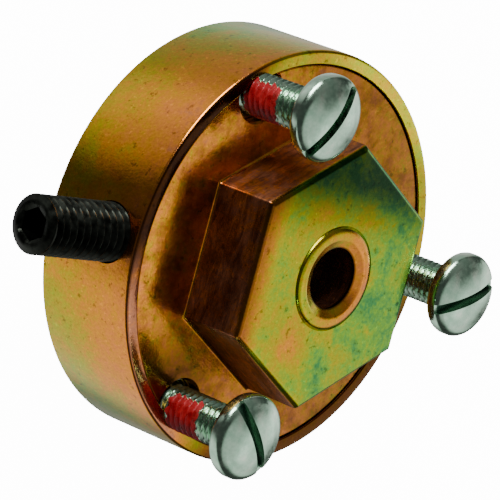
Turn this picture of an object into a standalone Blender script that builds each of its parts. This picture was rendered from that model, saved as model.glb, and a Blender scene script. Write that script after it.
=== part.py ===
"""Compact Oldham coupling with a hexagon drive flange, as separate parts.

A turned cup, hub_body, carries everything. Its front counterbore takes hex_flange, which three
slotted pan-head screws hold. A set screw runs radially through the cup's web to clamp the driving
shaft. Behind the web, slider and output_hub form the Oldham joint, held in by retaining_ring.
The coupling's axis is vertical and the part stands on the cup's flat rear face at z = 0.
"""

from math import cos, pi, radians, sin

import bmesh
import bpy
from mathutils import Matrix, Vector

MM = 0.001

# Driving dimensions, in millimetres and degrees.
GAP = 0.3
ROUND_STEPS = 96
HOLE_STEPS = 32
SCREW_STEPS = 36

BODY_RADIUS = 29.0
BODY_HEIGHT = 16.5
COUNTERBORE_RADIUS = 27.1
COUNTERBORE_FLOOR = 14.1
RECESS_RADIUS = 20.3
RECESS_CEILING = 6.3
BORE_RADIUS = 4.25
EDGE_ROUND = 0.4

FLANGE_RADIUS = 26.6
FLANGE_TOP = 16.2
HEX_ACROSS_FLATS = 32.0
HEX_TOP = 26.0
HEX_CHAMFER = 0.9
COLLAR_RADIUS = 7.0
COLLAR_RISE = 0.7
BORE_CHAMFER = 1.2

SCREW_CIRCLE_RADIUS = 25.0
SCREW_ANGLES = (-60.0, 60.0, 180.0)
SCREW_SLOT_ANGLES = (60.0, 128.0, 24.0)
SCREW_PATCH_ANGLES = (10.0, -15.0, 170.0)
HEAD_UNDERSIDES = (26.8, 27.6, 26.8)
SCREW_RADIUS = 3.0
SCREW_LENGTH = 16.0
HEAD_RADIUS = 5.9
HEAD_HEIGHT = 3.6
SLOT_WIDTH = 1.6
SLOT_DEPTH = 1.9
FLANGE_HOLE_RADIUS = 3.8
PATCH_TOP = -4.2
PATCH_LENGTH = 5.6
PATCH_ROOT_RADIUS = 2.45

SET_SCREW_RADIUS = 4.0
SET_SCREW_LENGTH = 25.0
SET_SCREW_REACH = 43.0
SET_SCREW_LEVEL = 10.9
SOCKET_ACROSS_FLATS = 4.0
SOCKET_DEPTH = 4.0

TONGUE_WIDTH = 6.0
TONGUE_DEPTH = 1.8
FLOAT_RADIUS = 19.0
SLIDER_BOTTOM = 4.2
SLIDER_TOP = 6.0
SLIDER_HOLE_RADIUS = 7.5
UPPER_TONGUE_START = 8.0
LOWER_TONGUE_START = 12.9
TONGUE_END = 18.7

OUTPUT_BOTTOM = 0.3
OUTPUT_PLATE_BOTTOM = 2.2
OUTPUT_TOP = 3.9
OUTPUT_BOSS_RADIUS = 11.0
KEYWAY_WIDTH = 3.0
KEYWAY_DEPTH = 1.4

RING_BOTTOM = 0.9
RING_TOP = 1.9
RING_INNER_RADIUS = 17.6
RING_OUTER_RADIUS = 21.1
RING_GAP_WIDTH = 10.0
LUG_RADIUS = 2.2
LUG_HOLE_RADIUS = 0.9
LUG_CENTRE = (-15.4, 7.0)

# The set screw stands out far on one side, so the axis is shifted to centre the outline on x = 0.
AXIS_X = (SCREW_CIRCLE_RADIUS + HEAD_RADIUS - SET_SCREW_REACH) / 2
FAR = 60.0


def clear_scene():
    """Remove every object, so that the model starts from an empty scene."""
    for old in list(bpy.data.objects):
        bpy.data.objects.remove(old, do_unlink=True)


def new_collection(name):
    """Return a new collection linked to the scene."""
    collection = bpy.data.collections.new(name)
    bpy.context.scene.collection.children.link(collection)
    return collection


def new_material(name, colour, roughness, metallic=1.0):
    """Return a Principled BSDF material."""
    material = bpy.data.materials.new(name)
    material.use_nodes = True
    shader = material.node_tree.nodes["Principled BSDF"]
    shader.inputs["Base Color"].default_value = (*colour, 1.0)
    shader.inputs["Roughness"].default_value = roughness
    shader.inputs["Metallic"].default_value = metallic
    return material


def add_object(name, mesh, collection, material=None):
    """Link a new object that stands on the coupling's axis."""
    obj = bpy.data.objects.new(name, mesh)
    obj.location = (AXIS_X * MM, 0.0, 0.0)
    if material:
        mesh.materials.append(material)
    collection.objects.link(obj)
    return obj


def mesh_from_bmesh(name, bm):
    """Scale a bmesh drawn in millimetres to metres and store it as a mesh."""
    bmesh.ops.scale(bm, vec=Vector((MM, MM, MM)), verts=bm.verts)
    mesh = bpy.data.meshes.new(name)
    bm.to_mesh(mesh)
    bm.free()
    return mesh


def turned(name, profile, collection, material=None, steps=ROUND_STEPS):
    """Turn a profile of (radius, z) points about Z: closed, unless it starts on the axis."""
    bm = bmesh.new()
    points = [bm.verts.new((radius, 0.0, z)) for radius, z in profile]
    for start, end in zip(points, points[1:]):
        bm.edges.new((start, end))
    if profile[0][0] > 0.0:
        bm.edges.new((points[-1], points[0]))
    obj = add_object(name, mesh_from_bmesh(name, bm), collection, material)
    screw = obj.modifiers.new("Turn", "SCREW")
    screw.steps = steps
    screw.render_steps = steps
    screw.use_merge_vertices = True
    screw.merge_threshold = 0.00001
    screw.use_smooth_shade = False
    return obj


def make_cutter(name, bm):
    """Store a bmesh as a tool body for a Boolean, hidden from renders."""
    cutter = add_object(name, mesh_from_bmesh(name, bm), CUTTERS)
    cutter.hide_render = True
    cutter.display_type = "WIRE"
    return cutter


def box_tool(name, low, high, turn=0.0, centre=(0.0, 0.0)):
    """Return a box between two corners, turned by an angle about Z and then moved to a centre."""
    size = [b - a for a, b in zip(low, high)]
    middle = [(a + b) / 2 for a, b in zip(low, high)]
    bm = bmesh.new()
    bmesh.ops.create_cube(bm, size=1.0)
    bmesh.ops.scale(bm, vec=Vector(size), verts=bm.verts)
    bmesh.ops.translate(bm, vec=Vector(middle), verts=bm.verts)
    bmesh.ops.rotate(bm, matrix=Matrix.Rotation(radians(turn), 3, "Z"), verts=bm.verts)
    bmesh.ops.translate(bm, vec=Vector((*centre, 0.0)), verts=bm.verts)
    return make_cutter(name, bm)


def rod_tool(name, radius, low, high, centre=(0.0, 0.0), steps=HOLE_STEPS):
    """Return a cylinder parallel to Z between two levels."""
    bm = bmesh.new()
    bmesh.ops.create_cone(
        bm, cap_ends=True, segments=steps, radius1=radius, radius2=radius, depth=high - low
    )
    bmesh.ops.translate(bm, vec=Vector((*centre, (low + high) / 2)), verts=bm.verts)
    return make_cutter(name, bm)


def radial_rod_tool(name, radius, start, end, level):
    """Return a cylinder along X between two distances from the axis."""
    bm = bmesh.new()
    bmesh.ops.create_cone(
        bm, cap_ends=True, segments=HOLE_STEPS, radius1=radius, radius2=radius, depth=end - start
    )
    bmesh.ops.rotate(bm, matrix=Matrix.Rotation(pi / 2, 3, "Y"), verts=bm.verts)
    bmesh.ops.translate(bm, vec=Vector(((start + end) / 2, 0.0, level)), verts=bm.verts)
    return make_cutter(name, bm)


def combine(obj, tool, operation="DIFFERENCE"):
    """Cut a tool from an object, or join it on."""
    boolean = obj.modifiers.new(tool.name, "BOOLEAN")
    boolean.operation = operation
    boolean.solver = "EXACT"
    boolean.object = tool


def screw_centre(index):
    """Return where a flange screw's axis crosses the XY plane, from the coupling's axis."""
    angle = radians(SCREW_ANGLES[index])
    return SCREW_CIRCLE_RADIUS * cos(angle), SCREW_CIRCLE_RADIUS * sin(angle)


def drill_screw_holes(obj, radius):
    """Cut the three holes of the flange screws."""
    for index in range(len(SCREW_ANGLES)):
        name = f"{obj.name}_screw_hole_{index + 1}"
        combine(obj, rod_tool(name, radius, -1.0, BODY_HEIGHT + 1.0, screw_centre(index)))


def build_hub_body():
    """Cup with a shallow counterbore in front, a thick web, and a recess with a ring groove."""
    groove_radius = RING_OUTER_RADIUS + GAP
    profile = [
        (COUNTERBORE_RADIUS, BODY_HEIGHT),
        (BODY_RADIUS - EDGE_ROUND, BODY_HEIGHT),
        (BODY_RADIUS, BODY_HEIGHT - EDGE_ROUND),
        (BODY_RADIUS, EDGE_ROUND),
        (BODY_RADIUS - EDGE_ROUND, 0.0),
        (RECESS_RADIUS, 0.0),
        (RECESS_RADIUS, RING_BOTTOM - GAP),
        (groove_radius, RING_BOTTOM - GAP),
        (groove_radius, RING_TOP + GAP),
        (RECESS_RADIUS, RING_TOP + GAP),
        (RECESS_RADIUS, RECESS_CEILING),
        (BORE_RADIUS, RECESS_CEILING),
        (BORE_RADIUS, COUNTERBORE_FLOOR),
        (COUNTERBORE_RADIUS, COUNTERBORE_FLOOR),
    ]
    body = turned("hub_body", profile, PARTS, GOLD_ZINC)
    half_slot = TONGUE_WIDTH / 2 + GAP
    slot_top = SLIDER_TOP + TONGUE_DEPTH + GAP * 2
    reach = RECESS_RADIUS - GAP
    slot = box_tool("body_slot", (-half_slot, -reach, 6.0), (half_slot, reach, slot_top))
    combine(body, slot)
    clearance = SET_SCREW_RADIUS + GAP
    combine(body, radial_rod_tool("set_screw_hole", clearance, GAP, FAR, SET_SCREW_LEVEL))
    drill_screw_holes(body, SCREW_RADIUS + GAP)
    return body


def hex_profile():
    """Outline of the hexagon boss on its corner radius, from the top centre down."""
    corner = HEX_ACROSS_FLATS / 2 / cos(pi / 6)
    inset = HEX_CHAMFER / cos(pi / 6)
    base = FLANGE_TOP - 1.0
    return [(0.0, HEX_TOP), (corner - inset, HEX_TOP), (corner, HEX_TOP - HEX_CHAMFER), (corner, base),
            (0.0, base)]


def build_hex_flange():
    """Thin round flange with a hexagon boss, a raised collar and a through bore."""
    bottom = COUNTERBORE_FLOOR + GAP
    edge = EDGE_ROUND
    profile = [
        (0.0, FLANGE_TOP),
        (FLANGE_RADIUS - edge, FLANGE_TOP),
        (FLANGE_RADIUS, FLANGE_TOP - edge),
        (FLANGE_RADIUS, bottom),
        (0.0, bottom),
    ]
    flange = turned("hex_flange", profile, PARTS, GOLD_ZINC)
    boss = turned("hex_boss", hex_profile(), CUTTERS, steps=6)
    boss.rotation_euler.z = radians(30.0)
    boss.hide_render = True
    boss.display_type = "WIRE"
    combine(flange, boss, "UNION")
    collar_top = HEX_TOP + COLLAR_RISE
    collar = rod_tool("collar", COLLAR_RADIUS, HEX_TOP - 1.0, collar_top, steps=ROUND_STEPS // 2)
    combine(flange, collar, "UNION")
    mouth = BORE_RADIUS + BORE_CHAMFER
    bore = [(0.0, FAR), (mouth, FAR), (mouth, collar_top), (BORE_RADIUS, collar_top - BORE_CHAMFER),
            (BORE_RADIUS, 0.0), (0.0, 0.0)]
    drill = turned("flange_bore", bore, CUTTERS, steps=ROUND_STEPS // 2)
    drill.hide_render = True
    drill.display_type = "WIRE"
    combine(flange, drill)
    relief = radial_rod_tool("relief", SET_SCREW_RADIUS + GAP, BORE_RADIUS - 1.0, FAR, SET_SCREW_LEVEL)
    combine(flange, relief)
    drill_screw_holes(flange, FLANGE_HOLE_RADIUS)
    return flange


def head_profile():
    """Pan head and shank outline, from the crown down, with z = 0 under the head."""
    steps = 6
    crown = []
    for step in range(steps + 1):
        angle = radians(90.0 * step / steps)
        radius = HEAD_RADIUS * sin(angle) ** 0.8
        crown.append((radius, HEAD_HEIGHT * 0.4 + HEAD_HEIGHT * 0.6 * cos(angle) ** 0.9))
    patch_bottom = PATCH_TOP - PATCH_LENGTH
    shank = [
        (HEAD_RADIUS, GAP),
        (HEAD_RADIUS - GAP, 0.0),
        (SCREW_RADIUS, 0.0),
        (SCREW_RADIUS, PATCH_TOP),
        (PATCH_ROOT_RADIUS, PATCH_TOP),
        (PATCH_ROOT_RADIUS, patch_bottom),
        (SCREW_RADIUS, patch_bottom),
        (SCREW_RADIUS, 0.8 - SCREW_LENGTH),
        (SCREW_RADIUS - 0.6, -SCREW_LENGTH),
        (0.0, -SCREW_LENGTH),
    ]
    return crown + shank


def place_on_screw_axis(obj, index):
    """Move an object drawn on the coupling's axis to a flange screw's axis and level."""
    x, y = screw_centre(index)
    obj.location = ((AXIS_X + x) * MM, y * MM, HEAD_UNDERSIDES[index] * MM)


def build_flange_screw(index):
    """Slotted pan-head screw, standing part unscrewed."""
    name = f"flange_screw_{index + 1}"
    screw = turned(name, head_profile(), PARTS, CLEAR_ZINC, steps=SCREW_STEPS)
    half = SLOT_WIDTH / 2
    floor = HEAD_HEIGHT - SLOT_DEPTH
    slot = box_tool(f"{name}_slot", (-FAR / 2, -half, floor), (FAR / 2, half, FAR),
                    turn=SCREW_SLOT_ANGLES[index])
    combine(screw, slot)
    place_on_screw_axis(slot, index)
    place_on_screw_axis(screw, index)
    return screw


def build_thread_patch(index):
    """Thread-locking patch: a part sleeve in the screw's thread."""
    name = f"thread_patch_{index + 1}"
    top = PATCH_TOP - GAP
    bottom = PATCH_TOP - PATCH_LENGTH + GAP
    inner = PATCH_ROOT_RADIUS + GAP
    outer = SCREW_RADIUS + 0.1
    profile = [(outer, top), (outer, bottom), (inner, bottom), (inner, top)]
    patch = turned(name, profile, PARTS, RED_PATCH, steps=SCREW_STEPS)
    opening = box_tool(f"{name}_opening", (-FAR, -FAR, bottom - 1.0), (-1.0, FAR, top + 1.0),
                       turn=SCREW_PATCH_ANGLES[index])
    combine(patch, opening)
    place_on_screw_axis(opening, index)
    place_on_screw_axis(patch, index)
    return patch


def build_set_screw():
    """Hexagon-socket set screw with a cup point, lying along X with its socket outwards."""
    end = SET_SCREW_LENGTH
    chamfer = 0.7
    profile = [
        (0.0, end),
        (SET_SCREW_RADIUS - chamfer, end),
        (SET_SCREW_RADIUS, end - chamfer),
        (SET_SCREW_RADIUS, 1.2),
        (SET_SCREW_RADIUS - 1.2, 0.0),
        (1.8, 0.0),
        (0.0, 1.0),
    ]
    screw = turned("set_screw", profile, PARTS, BLACK_OXIDE, steps=HOLE_STEPS)
    corner = SOCKET_ACROSS_FLATS / 2 / cos(pi / 6)
    socket = rod_tool("socket", corner, end - SOCKET_DEPTH, FAR, steps=6)
    combine(screw, socket)
    for obj in (screw, socket):
        start = AXIS_X + SET_SCREW_REACH - SET_SCREW_LENGTH
        obj.location = (start * MM, 0.0, SET_SCREW_LEVEL * MM)
        obj.rotation_euler.y = pi / 2
    return screw


def build_slider():
    """Oldham disc: tongues along Y on top for the body, along X below for the output hub."""
    profile = [
        (FLOAT_RADIUS - GAP, SLIDER_TOP),
        (FLOAT_RADIUS, SLIDER_TOP - GAP),
        (FLOAT_RADIUS, SLIDER_BOTTOM + GAP),
        (FLOAT_RADIUS - GAP, SLIDER_BOTTOM),
        (SLIDER_HOLE_RADIUS, SLIDER_BOTTOM),
        (SLIDER_HOLE_RADIUS, SLIDER_TOP),
    ]
    slider = turned("slider", profile, PARTS, BLACK_OXIDE)
    half = TONGUE_WIDTH / 2
    overlap = 1.0
    upper_low = (UPPER_TONGUE_START, -half, SLIDER_TOP - overlap)
    upper_high = (TONGUE_END, half, SLIDER_TOP + TONGUE_DEPTH)
    lower_low = (LOWER_TONGUE_START, -half, SLIDER_BOTTOM - TONGUE_DEPTH)
    lower_high = (TONGUE_END, half, SLIDER_BOTTOM + overlap)
    for side, turn in (("left", 90.0), ("right", -90.0)):
        combine(slider, box_tool(f"upper_tongue_{side}", upper_low, upper_high, turn), "UNION")
    for side, turn in (("front", 0.0), ("back", 180.0)):
        combine(slider, box_tool(f"lower_tongue_{side}", lower_low, lower_high, turn), "UNION")
    return slider


def build_output_hub():
    """Driven disc with two open slots for the slider, a boss, a bore and a keyway."""
    profile = [
        (FLOAT_RADIUS - GAP, OUTPUT_TOP),
        (FLOAT_RADIUS, OUTPUT_TOP - GAP),
        (FLOAT_RADIUS, OUTPUT_PLATE_BOTTOM),
        (OUTPUT_BOSS_RADIUS, OUTPUT_PLATE_BOTTOM),
        (OUTPUT_BOSS_RADIUS, OUTPUT_BOTTOM + EDGE_ROUND),
        (OUTPUT_BOSS_RADIUS - EDGE_ROUND, OUTPUT_BOTTOM),
        (BORE_RADIUS, OUTPUT_BOTTOM),
        (BORE_RADIUS, OUTPUT_TOP),
    ]
    hub = turned("output_hub", profile, PARTS, GOLD_ZINC)
    half = TONGUE_WIDTH / 2 + GAP
    low = (OUTPUT_BOSS_RADIUS + 0.7, -half, OUTPUT_BOTTOM)
    high = (FLOAT_RADIUS + 1.0, half, OUTPUT_TOP + 1.0)
    for side, turn in (("front", 0.0), ("back", 180.0)):
        combine(hub, box_tool(f"output_slot_{side}", low, high, turn))
    keyway_low = (BORE_RADIUS - 1.0, -KEYWAY_WIDTH / 2, OUTPUT_BOTTOM - 1.0)
    keyway_high = (BORE_RADIUS + KEYWAY_DEPTH, KEYWAY_WIDTH / 2, OUTPUT_TOP + 1.0)
    combine(hub, box_tool("keyway", keyway_low, keyway_high, turn=90.0))
    return hub


def build_retaining_ring():
    """Internal snap ring with a gap between two pierced lugs."""
    profile = [
        (RING_OUTER_RADIUS, RING_TOP),
        (RING_OUTER_RADIUS, RING_BOTTOM),
        (RING_INNER_RADIUS, RING_BOTTOM),
        (RING_INNER_RADIUS, RING_TOP),
    ]
    ring = turned("retaining_ring", profile, PARTS, SPRING_STEEL)
    half_gap = RING_GAP_WIDTH / 2
    x, y = LUG_CENTRE
    combine(ring, box_tool("ring_gap", (-FAR, -half_gap, 0.0), (0.0, half_gap, FAR)))
    for side, sign in (("a", 1.0), ("b", -1.0)):
        centre = (x, sign * y)
        lug = rod_tool(f"lug_{side}", LUG_RADIUS, RING_BOTTOM, RING_TOP, centre)
        hole = rod_tool(f"lug_hole_{side}", LUG_HOLE_RADIUS, 0.0, FAR, centre)
        combine(ring, lug, "UNION")
        combine(ring, hole)
    return ring


clear_scene()
PARTS = new_collection("oldham_coupling")
CUTTERS = new_collection("cutters")
GOLD_ZINC = new_material("gold_zinc", (0.46, 0.33, 0.09), 0.32)
CLEAR_ZINC = new_material("clear_zinc", (0.66, 0.70, 0.68), 0.25)
BLACK_OXIDE = new_material("black_oxide", (0.02, 0.022, 0.02), 0.42)
SPRING_STEEL = new_material("spring_steel", (0.12, 0.12, 0.13), 0.35)
RED_PATCH = new_material("red_patch", (0.45, 0.01, 0.02), 0.45, metallic=0.0)

build_hub_body()
build_hex_flange()
build_set_screw()
build_slider()
build_output_hub()
build_retaining_ring()
for screw_index in range(len(SCREW_ANGLES)):
    build_flange_screw(screw_index)
    build_thread_patch(screw_index)
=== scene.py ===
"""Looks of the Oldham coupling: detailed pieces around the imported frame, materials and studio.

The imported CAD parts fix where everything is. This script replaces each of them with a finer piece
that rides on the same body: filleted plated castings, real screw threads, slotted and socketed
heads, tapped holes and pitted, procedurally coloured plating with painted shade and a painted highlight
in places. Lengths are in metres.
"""

from math import acos, atan2, ceil, cos, floor, pi, radians, sin, sqrt, tan

import bmesh
import bpy
from mathutils import Matrix, Vector, noise


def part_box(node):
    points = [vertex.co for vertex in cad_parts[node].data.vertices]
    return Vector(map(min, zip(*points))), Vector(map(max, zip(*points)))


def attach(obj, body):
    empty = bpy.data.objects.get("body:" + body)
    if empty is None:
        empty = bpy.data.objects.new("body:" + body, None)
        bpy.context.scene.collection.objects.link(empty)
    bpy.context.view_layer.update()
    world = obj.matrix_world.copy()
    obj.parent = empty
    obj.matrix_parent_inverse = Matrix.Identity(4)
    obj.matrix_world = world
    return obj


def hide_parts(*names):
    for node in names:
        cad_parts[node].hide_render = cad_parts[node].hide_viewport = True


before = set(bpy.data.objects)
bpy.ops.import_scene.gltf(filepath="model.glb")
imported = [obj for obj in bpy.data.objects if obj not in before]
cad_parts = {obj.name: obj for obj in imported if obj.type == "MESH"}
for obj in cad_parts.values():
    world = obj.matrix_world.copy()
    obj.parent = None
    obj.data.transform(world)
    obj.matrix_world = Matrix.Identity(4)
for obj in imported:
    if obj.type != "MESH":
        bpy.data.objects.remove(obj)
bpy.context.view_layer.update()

MM = 0.001

# How finely round shapes are cut up, and which edges stay crisp.
ROUND_STEPS = 192
SMALL_STEPS = 72
LUG_STEPS = 48
PIERCE_STEPS = 32
SMOOTH_ANGLE = radians(32)
WELD_DISTANCE = 0.01 * MM
# Tools are turned a little, so that their edges never fall on an edge of what they cut.
TOOL_PHASE = 0.03
TAP_PHASE = 0.05
# How far a tool reaches past the surface that it cuts through.
OVERCUT = 1.0 * MM

# The cup: its rim, rear recess, bore, and the slot for the slider's tongues. The ring's groove
# is its lower and upper level and its radius.
RIM_THICKNESS = 1.9 * MM
COUNTERBORE_DEPTH = 2.4 * MM
RECESS_RADIUS = 20.3 * MM
RECESS_DEPTH = 6.3 * MM
RING_GROOVE = (0.6 * MM, 2.2 * MM, 21.4 * MM)
BORE_RADIUS = 4.25 * MM
SLOT_HALF_WIDTH = 3.3 * MM
SLOT_CEILING = 8.4 * MM

# The flange with its hexagon. The disc all but fills the counterbore that it sits in.
FLANGE_TOP = 16.2 * MM
HEX_ACROSS_FLATS = 32.0 * MM
HEX_TOP = 26.0 * MM
HEX_CORNER_ROUND = 0.35 * MM
HEX_CHAMFER = 0.9 * MM
HEX_FILLET = 0.4 * MM
DISC_EDGE_ROUND = 0.2 * MM
DISC_SPREAD = 0.32 * MM
COLLAR_RADIUS = 7.0 * MM
COLLAR_EASE = 0.3 * MM
COLLAR_SLOPE = 1.1 * MM
COLLAR_GROOVE = 0.15 * MM
BORE_CHAMFER = 1.2 * MM
SCREW_HOLE_RADIUS = 3.8 * MM
SCREW_HOLE_LIP = 0.3 * MM
SET_SCREW_RELIEF = 0.3 * MM

# Threads: pitches and crest radii, and shares of a pitch.
PITCH_M6 = 1.0 * MM
THREAD_M6 = 3.0 * MM
PITCH_M8 = 1.25 * MM
THREAD_M8 = 4.0 * MM
THREAD_HEIGHT = 0.613
THREAD_RUNOUT = 0.6
THREAD_FLANKS = 0.72
THREAD_CREST = 0.1
THREAD_ROWS = 14

# Tapped holes, whose threads stay clear of the screws.
TAP_CLEARANCE = 0.13 * MM
TAP_DEPTH = 0.4
TAP_LEAD = 0.8 * MM
TAP_LIP = 0.45 * MM
TAP_STEPS = 36
TAP_ROWS = 8

# Pan-head screws. Each slot is turned its own way, in degrees.
HEAD_HEIGHT = 3.6 * MM
HEAD_DOME = 0.95 * MM
HEAD_FILLET = 1.2 * MM
SLOT_WIDTH = 1.4 * MM
SLOT_DEPTH = 1.9 * MM
SLOT_ANGLES = (60.7, 128.7, 24.3)

# Thread-locking patches: levels below the head, and where each one's middle is and how far it
# spreads to either side of that, in degrees.
PATCH_TOP = -5.6 * MM
PATCH_BOTTOM = -10.9 * MM
PATCH_MIDDLES = (53.0, 50.0, 170.0)
PATCH_SPREADS = (100.0, 100.0, 80.0)
PATCH_CELLS = (64, 84)
PATCH_SKIN = 0.09 * MM
PATCH_DEPTH = 0.12 * MM
PATCH_RAGGEDNESS = 0.35 * MM

# The set screw's socket.
SOCKET_ACROSS_FLATS = 4.0 * MM
SOCKET_DEPTH = 4.0 * MM
SOCKET_CORNER_ROUND = 0.05 * MM
SOCKET_DRILL_POINT = 0.9 * MM

# The slider and the output hub.
TONGUE_WIDTH = 6.0 * MM
TONGUE_HEIGHT = 1.8 * MM
TONGUE_ROOT = 0.9 * MM
TONGUE_END = 18.7 * MM
UPPER_TONGUE_START = 8.0 * MM
LOWER_TONGUE_START = 12.9 * MM
SLIDER_BORE_RADIUS = 7.5 * MM
SLIDER_EDGE = 0.18 * MM
OUTPUT_BOSS_HEIGHT = 1.9 * MM
OUTPUT_BOSS_RADIUS = 11.0 * MM
OUTPUT_SLOT_START = 11.7 * MM
OUTPUT_EDGE = 0.15 * MM
KEYWAY_WIDTH = 3.0 * MM
KEYWAY_DEPTH = 1.4 * MM

# The snap ring.
SNAP_OUTER = 21.1 * MM
SNAP_INNER = 17.6 * MM
SNAP_GAP = 10.0 * MM
SNAP_EDGE = 0.12 * MM
LUG_PLACE = (-15.4 * MM, 7.0 * MM)
LUG_RADIUS = 2.2 * MM
LUG_HOLE_RADIUS = 0.9 * MM

# The camera looks at the front from the set screw's side, rolled about its line of sight. It aims
# a little to one side of the rim's middle, by the last pair.
CAMERA_AZIMUTH = radians(-10.28)
CAMERA_ELEVATION = radians(40.32)
CAMERA_ROLL = radians(111.59)
CAMERA_DISTANCE = 0.5336
CAMERA_LENS = 284.5
CAMERA_AIM = (-4.4 * MM, 1.17 * MM)


# ------------------------------------------------------------------------------ mesh building


def link(name, mesh, location, turn=0.0, tilt=0.0):
    """Link a mesh as an object at a place, tilted about Y and turned about Z."""
    obj = bpy.data.objects.new(name, mesh)
    obj.location = location
    obj.rotation_euler = (0.0, tilt, turn)
    bpy.context.scene.collection.objects.link(obj)
    return obj


def filleted(corners, steps=4):
    """Return a closed (radius, z) outline with each corner (radius, z, fillet) rounded off."""
    outline = []
    count = len(corners)
    for i, (r, z, fillet) in enumerate(corners):
        here = Vector((r, z))
        if fillet <= 0.0:
            outline.append((r, z))
            continue
        back = (Vector(corners[i - 1][:2]) - here).normalized()
        ahead = (Vector(corners[(i + 1) % count][:2]) - here).normalized()
        half = acos(max(-1.0, min(1.0, back.dot(ahead)))) / 2
        reach = fillet / tan(half)
        centre = here + (back + ahead).normalized() * (fillet / sin(half))
        start, end = here + back * reach - centre, here + ahead * reach - centre
        for step in range(steps + 1):
            spoke = start.lerp(end, step / steps).normalized() * fillet
            outline.append(tuple(centre + spoke))
    return outline


def rings_mesh(name, rings, angles, closed=False):
    """Skin a stack of rings. A ring maps an angle to (radius, z), or is one (radius, z) pair.

    With closed set the last ring is joined to the first; otherwise both ends are capped.
    """
    bm = bmesh.new()
    rows = []
    for ring in rings:
        if not callable(ring) and ring[0] == 0.0:
            rows.append([bm.verts.new((0.0, 0.0, ring[1]))])
            continue
        row = []
        for angle in angles:
            r, z = ring(angle) if callable(ring) else ring
            row.append(bm.verts.new((r * cos(angle), r * sin(angle), z)))
        rows.append(row)
    pairs = list(zip(rows, rows[1:]))
    if closed:
        pairs.append((rows[-1], rows[0]))
    count = len(angles)
    for low, high in pairs:
        for i in range(count):
            j = (i + 1) % count
            if len(low) == 1:
                bm.faces.new((low[0], high[j], high[i]))
            elif len(high) == 1:
                bm.faces.new((low[i], low[j], high[0]))
            else:
                bm.faces.new((low[i], low[j], high[j], high[i]))
    if not closed:
        for row in (rows[0], rows[-1]):
            if len(row) > 1:
                bm.faces.new(row)
    bmesh.ops.recalc_face_normals(bm, faces=bm.faces)
    return new_mesh(name, bm)


def new_mesh(name, bm):
    """Return a mesh made from a bmesh, which it frees."""
    mesh = bpy.data.meshes.new(name)
    bm.to_mesh(mesh)
    bm.free()
    return mesh


def even_angles(count, phase=0.0):
    """Return evenly spaced angles around a full turn, from a phase on."""
    return [phase + 2 * pi * i / count for i in range(count)]


def smooth(obj):
    """Shade smooth, with edges sharper than SMOOTH_ANGLE kept crisp."""
    obj.data.shade_smooth()
    obj.data.set_sharp_from_angle(angle=SMOOTH_ANGLE)


def bake_modifiers(obj):
    """Replace an object's mesh with the result of its modifiers."""
    graph = bpy.context.evaluated_depsgraph_get()
    mesh = bpy.data.meshes.new_from_object(obj.evaluated_get(graph))
    obj.modifiers.clear()
    old = obj.data
    obj.data = mesh
    mesh.name = obj.name
    bpy.data.meshes.remove(old)


def weld(obj, distance):
    """Merge an object's vertices that lie closer than a distance."""
    bm = bmesh.new()
    bm.from_mesh(obj.data)
    bmesh.ops.remove_doubles(bm, verts=bm.verts, dist=distance)
    bmesh.ops.dissolve_degenerate(bm, edges=bm.edges, dist=distance)
    bm.to_mesh(obj.data)
    bm.free()


def carve(obj, tools, operation="DIFFERENCE"):
    """Cut tools from an object, or join them on, and remove them."""
    for tool in tools:
        boolean = obj.modifiers.new(tool.name, "BOOLEAN")
        boolean.operation = operation
        boolean.solver = "EXACT"
        boolean.object = tool
    bpy.context.view_layer.update()
    bake_modifiers(obj)
    weld(obj, WELD_DISTANCE)
    for tool in tools:
        bpy.data.objects.remove(tool, do_unlink=True)


def soften_edges(obj, width, segments=2):
    """Round off an object's sharp edges with a small bevel."""
    bevel = obj.modifiers.new("Edges", "BEVEL")
    bevel.width = width
    bevel.segments = segments
    bevel.limit_method = "ANGLE"
    bevel.angle_limit = radians(40)
    bevel.use_clamp_overlap = True
    bake_modifiers(obj)


def box_tool(name, low, high, location, turn=0.0):
    """Return a box between two corners, about a location, to cut or join with."""
    bm = bmesh.new()
    bmesh.ops.create_cube(bm, size=1.0)
    bmesh.ops.scale(bm, vec=Vector(high) - Vector(low), verts=bm.verts)
    bmesh.ops.translate(bm, vec=(Vector(low) + Vector(high)) / 2, verts=bm.verts)
    return link(name, new_mesh(name, bm), location, turn)


def rod_tool(name, rings, location, steps=SMALL_STEPS, turn=0.0, tilt=0.0):
    """Return a turned tool from (radius, z) pairs, to cut or join with."""
    return link(name, rings_mesh(name, rings, even_angles(steps, TOOL_PHASE)), location, turn, tilt)


# ------------------------------------------------------------------------------ screw threads


def thread_depth(phase):
    """Depth of a 60 degree thread below its crest, from 0 to 1, over one turn of phase."""
    from_root = abs(phase - floor(phase) - 0.5) * 2
    return max(0.0, min(1.0, (1.0 - THREAD_CREST - from_root) / THREAD_FLANKS))


def thread_radius(angle, z, crest, pitch, fade=1.0):
    """Radius of a right-handed thread at an angle and height."""
    depth = THREAD_HEIGHT * pitch * fade
    return crest - depth * thread_depth(z / pitch - angle / (2 * pi))


def thread_rings(low, high, crest, pitch):
    """Return rings for a threaded length, running out to a plain crest at its upper end."""
    count = ceil((high - low) / pitch * THREAD_ROWS)
    runout = THREAD_RUNOUT * pitch
    rings = []
    for row in range(count + 1):
        z = low + (high - low) * row / count
        fade = min(1.0, max(0.0, (high - z) / runout))
        rings.append(lambda a, z=z, f=fade: (thread_radius(a, z, crest, pitch, f), z))
    return rings


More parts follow.
